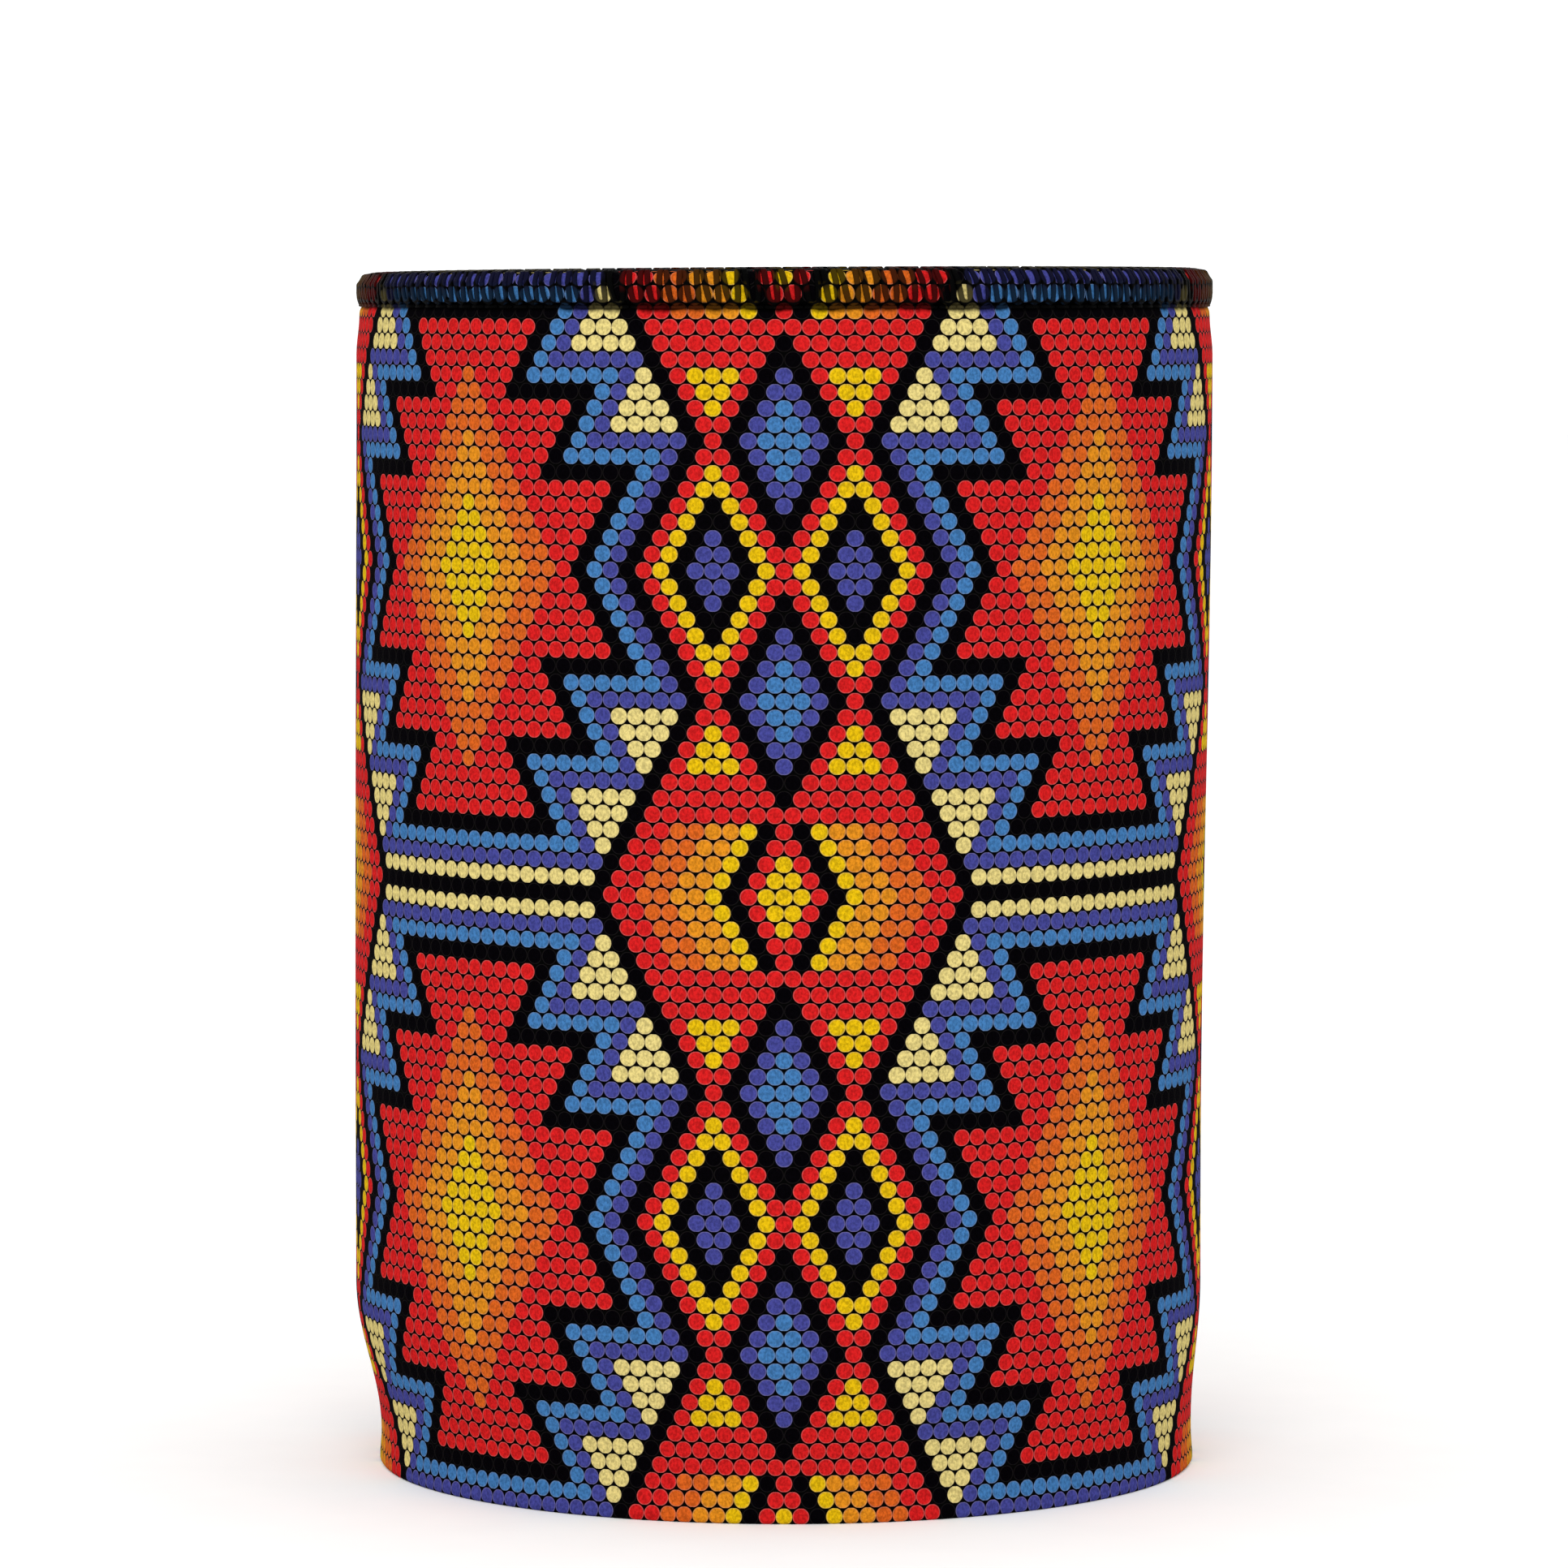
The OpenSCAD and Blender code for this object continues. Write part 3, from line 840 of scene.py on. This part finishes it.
def zigzag_tree():
    """A zigzag thread up the back seam, pulled down into the cloth where it turns."""
    tree, given = start_tree("zigzag", {
        "Legs": "NodeSocketInt", "Points a leg": "NodeSocketInt", "Width": "NodeSocketFloat",
        "Thickness": "NodeSocketFloat", "Half width": "NodeSocketFloat", "Rise": "NodeSocketFloat",
        "Material": "NodeSocketMaterial"})
    index = add(tree, "GeometryNodeInputIndex")
    phase = add(tree, "ShaderNodeMath", {0: index, 1: given["Points a leg"]}, operation="DIVIDE")
    side = add(tree, "ShaderNodeMath", {0: phase, 1: 1.0}, operation="PINGPONG")
    side = add(tree, "ShaderNodeMapRange", {"Value": side, "To Min": -1.0}, interpolation_type="SMOOTHSTEP")
    factor = add(tree, "ShaderNodeMath", {0: phase, 1: given["Legs"]}, operation="DIVIDE")
    radius, height, out_r, out_z = sample_guide(tree, given, factor)
    across = add(tree, "ShaderNodeMath", {0: side, 1: given["Half width"]}, operation="MULTIPLY")
    angle = add(tree, "ShaderNodeMath", {0: across, 1: radius}, operation="DIVIDE")
    angle = add(tree, "ShaderNodeMath", {0: angle, 1: math.pi}, operation="ADD")
    lift = add(tree, "ShaderNodeMath", {0: phase, 1: math.pi}, operation="MULTIPLY")
    lift = add(tree, "ShaderNodeMath", {0: lift}, operation="SINE")
    lift = add(tree, "ShaderNodeMath", {0: lift}, operation="ABSOLUTE")
    lift = add(tree, "ShaderNodeMath", {0: lift, 1: 0.4}, operation="POWER")
    radius = add(tree, "ShaderNodeMath", {0: lift, 1: given["Rise"], 2: radius}, operation="MULTIPLY_ADD")
    count = add(tree, "ShaderNodeMath", {0: given["Legs"], 1: given["Points a leg"], 2: 1.0},
                operation="MULTIPLY_ADD")
    lay_thread(tree, given, count, turned(tree, radius, height, angle), turned(tree, out_r, out_z, angle))
    return tree


def sew(name, tree, guide, inputs):
    """Runs a thread's tree on its guide line of (radius, height), and keeps the result as a plain mesh."""
    line = bpy.data.meshes.new(name)
    points = [(r * MM, 0, z * MM) for r, z in guide]
    line.from_pydata(points, [(i, i + 1) for i in range(len(points) - 1)], [])
    carrier = bpy.data.objects.new(name + "_guide", line)
    bpy.context.collection.objects.link(carrier)
    rule = carrier.modifiers.new("thread", "NODES")
    rule.node_group = tree
    for item in tree.interface.items_tree:
        if item.in_out == "INPUT" and item.name in inputs:
            rule[item.identifier] = inputs[item.name]
    graph = bpy.context.evaluated_depsgraph_get()
    mesh = bpy.data.meshes.new_from_object(carrier.evaluated_get(graph))
    mesh.name = name
    bpy.data.objects.remove(carrier)
    return mesh


def dye_thread(mesh):
    """Marks where each point of a rim thread lies in the print, and the colour of the bead there.

    Inside the middle of the rim there is no print, and the thread stays black.
    """
    flat = np.empty(len(mesh.vertices) * 3)
    mesh.vertices.foreach_get("co", flat)
    x, y, z = flat.reshape(-1, 3).T / MM
    radius = np.hypot(x, y)
    turn = np.arctan2(z - CORNER_Z, np.maximum(radius - RIM_OUT_R + CORNER_R, 0.01))
    distance = np.where(z > CORNER_Z, CORNER_Z + CORNER_R * turn, z)
    u = np.arctan2(x, -y) * BEADS_ROUND / math.tau
    v = row_at(distance)
    places = np.stack([u, v, np.zeros_like(u)], axis=1)
    mesh.attributes.new("print_place", "FLOAT_VECTOR", "POINT").data.foreach_set("vector", places.ravel())
    table = {letter: linear(code) for letter, code in BEAD_COLOURS.items()}
    colours = [table[bead(*bead_place(a, b)) if r > RIM_MID_R else "K"] for a, b, r in zip(u, v, radius)]
    layer = mesh.attributes.new("bead", "FLOAT_COLOR", "POINT")
    layer.data.foreach_set("color", np.array(colours).ravel())


def rim_guide(side):
    """The line of a looper thread: up from its feet, round the corner and a little past the rim's middle."""
    half = LOOPER_T / 2
    face = outer_face if side > 0 else inner_face
    heights = np.linspace(FEET_Z, CORNER_Z, 5)
    straight = np.stack([face(heights) + side * half, heights], axis=1)
    # It leaves the corner just before the jersey's cut edge, and sinks into the foam on top
    corner = around_corner(CORNER_R + half, side, CUT_ANGLE - 3)
    past = RIM_MID_R - side * 0.35
    return [*straight, *corner, (past + side * 0.9, EDGE_Z), (past, EDGE_Z + 0.02)]


def make_looper(name, tree, side, start, seed):
    """The looper thread of one face of the rim. start is where its first stitch begins, in stitches."""
    mesh = sew(name, tree, rim_guide(side), {
        "Stitches": STITCHES, "Points a stitch": 14, "Width": LOOPER_W * MM, "Thickness": LOOPER_T * MM,
        "Spread at the row": 0.25, "Spread at the edge": 0.11, "Slant": -0.42, "Unevenness": 0.12,
        "Start": start, "Seed": seed, "Material": OVERLOCK_THREAD})
    dye_thread(mesh)
    settle_mesh(mesh)
    return put(mesh, name, OVERLOCK_THREAD)


def make_needle_row():
    """The needle thread round the rim. Each stitch arches out of the groove and back into it."""
    face = float(outer_face(GROOVE_Z))
    guide = [(face - 0.15, GROOVE_Z), (face + 0.16, GROOVE_Z)]
    mesh = sew("rim_needle_stitches", row_tree(), guide, {
        "Stitches": STITCHES, "Points a stitch": 6, "Width": NEEDLE_W * MM, "Thickness": NEEDLE_T * MM,
        "Start": 0.5, "Material": OVERLOCK_THREAD})
    dye_thread(mesh)
    settle_mesh(mesh)
    return put(mesh, "rim_needle_stitches", OVERLOCK_THREAD)


def make_zigzag(name, tree, face, offset, rise, start):
    """The zigzag on one face of the back seam: offset out from the face where it turns, plus rise between."""
    heights = np.linspace(start, SEAM_TOP_Z, 60)
    guide = [(float(face(z)) + offset, z) for z in heights]
    mesh = sew(name, tree, guide, {
        "Legs": round((SEAM_TOP_Z - start) / ZIGZAG_LEG), "Points a leg": 5,
        "Width": SEAM_THREAD_W * MM, "Thickness": SEAM_THREAD_T * MM,
        "Half width": (SEAM_W / 2 - 0.2) * MM, "Rise": rise * MM, "Material": SEAM_THREAD})
    settle_mesh(mesh)
    return put(mesh, name, SEAM_THREAD)


# ---------------------------------------------------------------- the pieces

cover = make_cover()
foam = make_foam()
lining = make_lining()
under = make_disc("base_under_jersey", underside(0), underside(JERSEY_T), BLACK_JERSEY)
disc = make_disc("base_foam_disc", underside(JERSEY_T + GLUE_T), upper_side(JERSEY_T + GLUE_T), NEOPRENE)
upper = make_disc("base_upper_jersey", upper_side(JERSEY_T), upper_side(0), BLACK_JERSEY)
looper = looper_tree()
outer_loops = make_looper("rim_outer_loops", looper, 1, 0.0, 11)
inner_loops = make_looper("rim_inner_loops", looper, -1, 0.5, 23)
needle_row = make_needle_row()
zigzag = zigzag_tree()
needle_seam = make_zigzag("back_seam_outer_zigzag", zigzag, outer_face, -0.02, 0.16, SEAM_START)
bobbin_seam = make_zigzag("back_seam_inner_zigzag", zigzag, inner_face, 0.2, -0.12, BASE_T + SEAM_START)

SHEETS = (
    (cover, "printed_cover", "printed_jersey", (0.2356, 0.1051), "stretched", foam, None),
    (lining, "inner_lining", "black_jersey", (0.2086, 0.1051), "stretched", foam, None),
    (under, "base_cover", "black_jersey", (0.0633, 0.0633), "laid", disc, 0.0031),
    (upper, "base_lining", "black_jersey", (0.0633, 0.0633), "laid", disc, 0.0031),
)
for piece, node, slot, flat, held, on, area in SHEETS:
    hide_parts(node)
    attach(piece, "root")

for piece, node in ((foam, "foam_wall"), (disc, "base_foam")):
    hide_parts(node)
    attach(piece, "root")

THREADS = (
    (outer_loops, "rim_upper_looper_thread", "overlock_thread"),
    (inner_loops, "rim_lower_looper_thread", "overlock_thread"),
    (needle_row, "rim_needle_thread", "overlock_thread"),
    (needle_seam, "back_seam_needle_thread", "seam_thread"),
    (bobbin_seam, "back_seam_bobbin_thread", "seam_thread"),
)
for piece, node, slot in THREADS:
    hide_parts(node)
    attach(piece, "root")


# ---------------------------------------------------------------- the studio

def make_floor():
    """A wide sheet of matt white paper."""
    material, tree, shader = start_material("matt_white_paper", roughness=0.9, ior=1.5, specular=0.2)
    tone = add(tree, "ShaderNodeTexNoise", {"Scale": 900.0})
    colour = add(tree, "ShaderNodeMix", {
        "Factor": tone, "A": linear("#f2f2f1"), "B": linear("#f6f6f5")}, data_type="RGBA")
    set_surface(tree, shader, colour, tone, 0.05, 0.05)
    mesh = bpy.data.meshes.new("floor")
    mesh.from_pydata([(-4, -4, 0), (4, -4, 0), (4, 4, 0), (-4, 4, 0)], [], [(0, 1, 2, 3)])
    floor = put(mesh, "floor", material)
    floor.location.z = -0.02 * MM


def add_softbox(name, place, size, watts):
    """A square soft light at place, aimed at the middle of the sleeve."""
    light = bpy.data.lights.new(name, "AREA")
    light.size = size
    light.energy = watts
    lamp = bpy.data.objects.new(name, light)
    bpy.context.collection.objects.link(lamp)
    lamp.location = place
    aim = Vector((0, 0, SLEEVE_H / 2 * MM)) - lamp.location
    lamp.rotation_euler = aim.to_track_quat("-Z", "Y").to_euler()


make_floor()
world = bpy.data.worlds.new("studio")
world.use_nodes = True
world.node_tree.nodes["Background"].inputs["Color"].default_value = (1, 1, 1, 1)
world.node_tree.nodes["Background"].inputs["Strength"].default_value = 1.15
bpy.context.scene.world = world
add_softbox("front_softbox", (-0.15, -1.3, 0.75), 1.0, 9.0)

lens = bpy.data.cameras.new("camera")
lens.lens = 166.95
lens.sensor_width = 36
lens.clip_start = 0.01
lens.clip_end = 50
camera = bpy.data.objects.new("camera", lens)
bpy.context.collection.objects.link(camera)
camera.location = (0, -0.640, 0.10514)
camera.rotation_euler = (math.radians(90 - 4.06), 0, 0)
bpy.context.scene.camera = camera
bpy.context.scene.view_settings.view_transform = "Standard"
